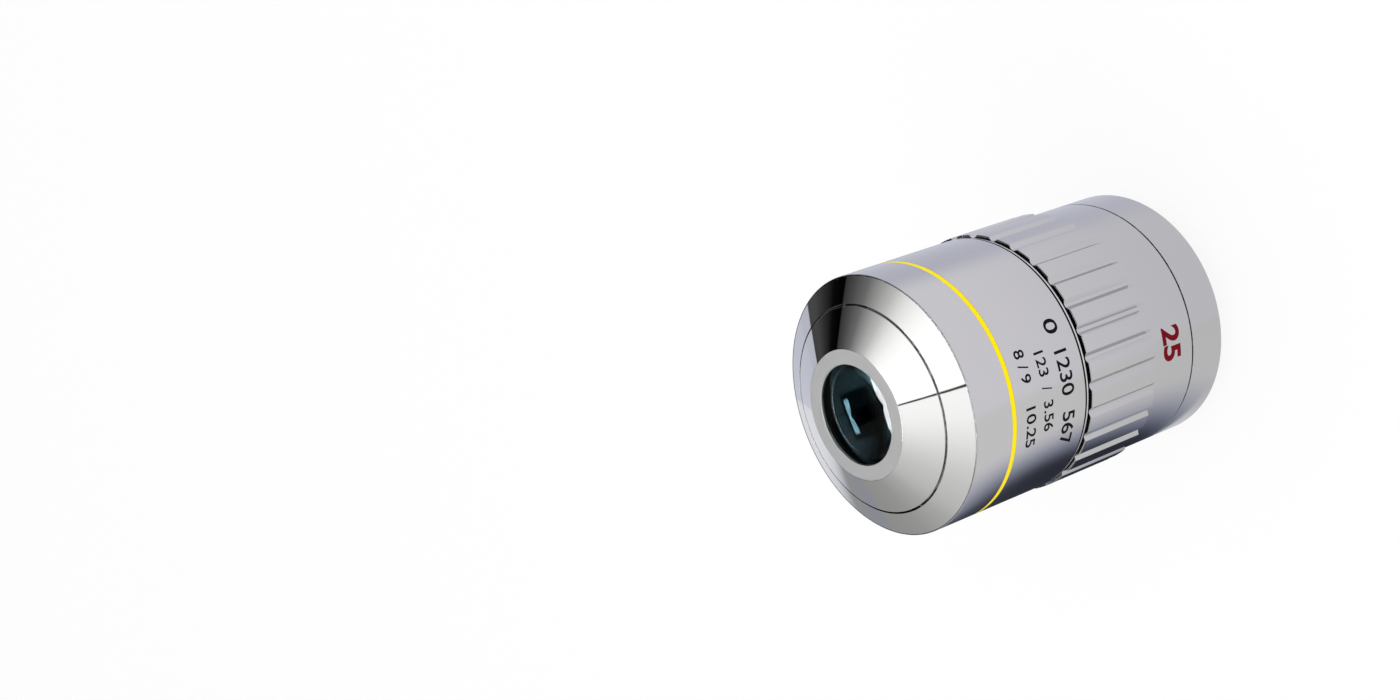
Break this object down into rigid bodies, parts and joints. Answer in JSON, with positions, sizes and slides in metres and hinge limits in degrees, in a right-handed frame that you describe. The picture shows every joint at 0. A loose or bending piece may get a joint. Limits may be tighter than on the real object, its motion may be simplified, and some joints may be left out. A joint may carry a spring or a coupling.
{
  "type": "microscope objective",
  "caption": "Long working distance objective: fluted chrome barrel with a conical nose, yellow ring, cemented lens groups in cells and a threaded mount.",
  "frame": {"origin": "centre of the mounting thread's end face, on which the objective stands", "axes": "+Z along the optical axis from the mount to the nose; +X is the side that is uppermost in the picture; +Y completes a right-handed frame"},
  "size_m": [0.0528, 0.0528, 0.081],
  "materials": {
    "polished_chrome": "mirror polished chrome plate",
    "satin_sleeve": "satin chrome plate",
    "mount_chrome": "fine turned chrome plate",
    "yellow_enamel": "gloss enamel",
    "black_anodised": "matte black anodised",
    "blackened_brass": "chemically blackened",
    "shim_steel": "ground",
    "crown_glass": "polished, coated",
    "flint_glass": "polished"
  },
  "bodies": {
    "root": {"nose_cap": "polished_chrome", "nose_cone": "polished_chrome", "front_barrel": "satin_sleeve", "colour_band": "yellow_enamel", "lock_ring": "polished_chrome", "grip_sleeve": "satin_sleeve", "rear_cover": "satin_sleeve", "mount_body": "mount_chrome", "parfocal_shim": "shim_steel", "lens_tube": "black_anodised", "tube_ring": "black_anodised", "stack_ring": "black_anodised", "centring_screws": "shim_steel", "front_cell": "blackened_brass", "front_lens": "crown_glass", "front_lens_ring": "black_anodised", "meniscus_cell": "blackened_brass", "meniscus_lens": "crown_glass", "meniscus_ring": "black_anodised", "triplet_spacer": "black_anodised", "triplet_cell": "blackened_brass", "triplet_back": "crown_glass", "triplet_core": "flint_glass", "triplet_front": "crown_glass", "triplet_ring": "black_anodised", "adjusting_spacer": "black_anodised", "aperture_stop": "black_anodised", "front_doublet_cell": "blackened_brass", "front_doublet_flint": "flint_glass", "front_doublet_crown": "crown_glass", "front_doublet_ring": "black_anodised", "doublet_spacer": "black_anodised", "rear_doublet_cell": "blackened_brass", "rear_doublet_flint": "flint_glass", "rear_doublet_crown": "crown_glass", "rear_doublet_ring": "black_anodised", "rear_spacer": "black_anodised", "rear_cell": "blackened_brass", "rear_lens": "crown_glass", "rear_lens_ring": "black_anodised"}
  },
  "joints": []
}
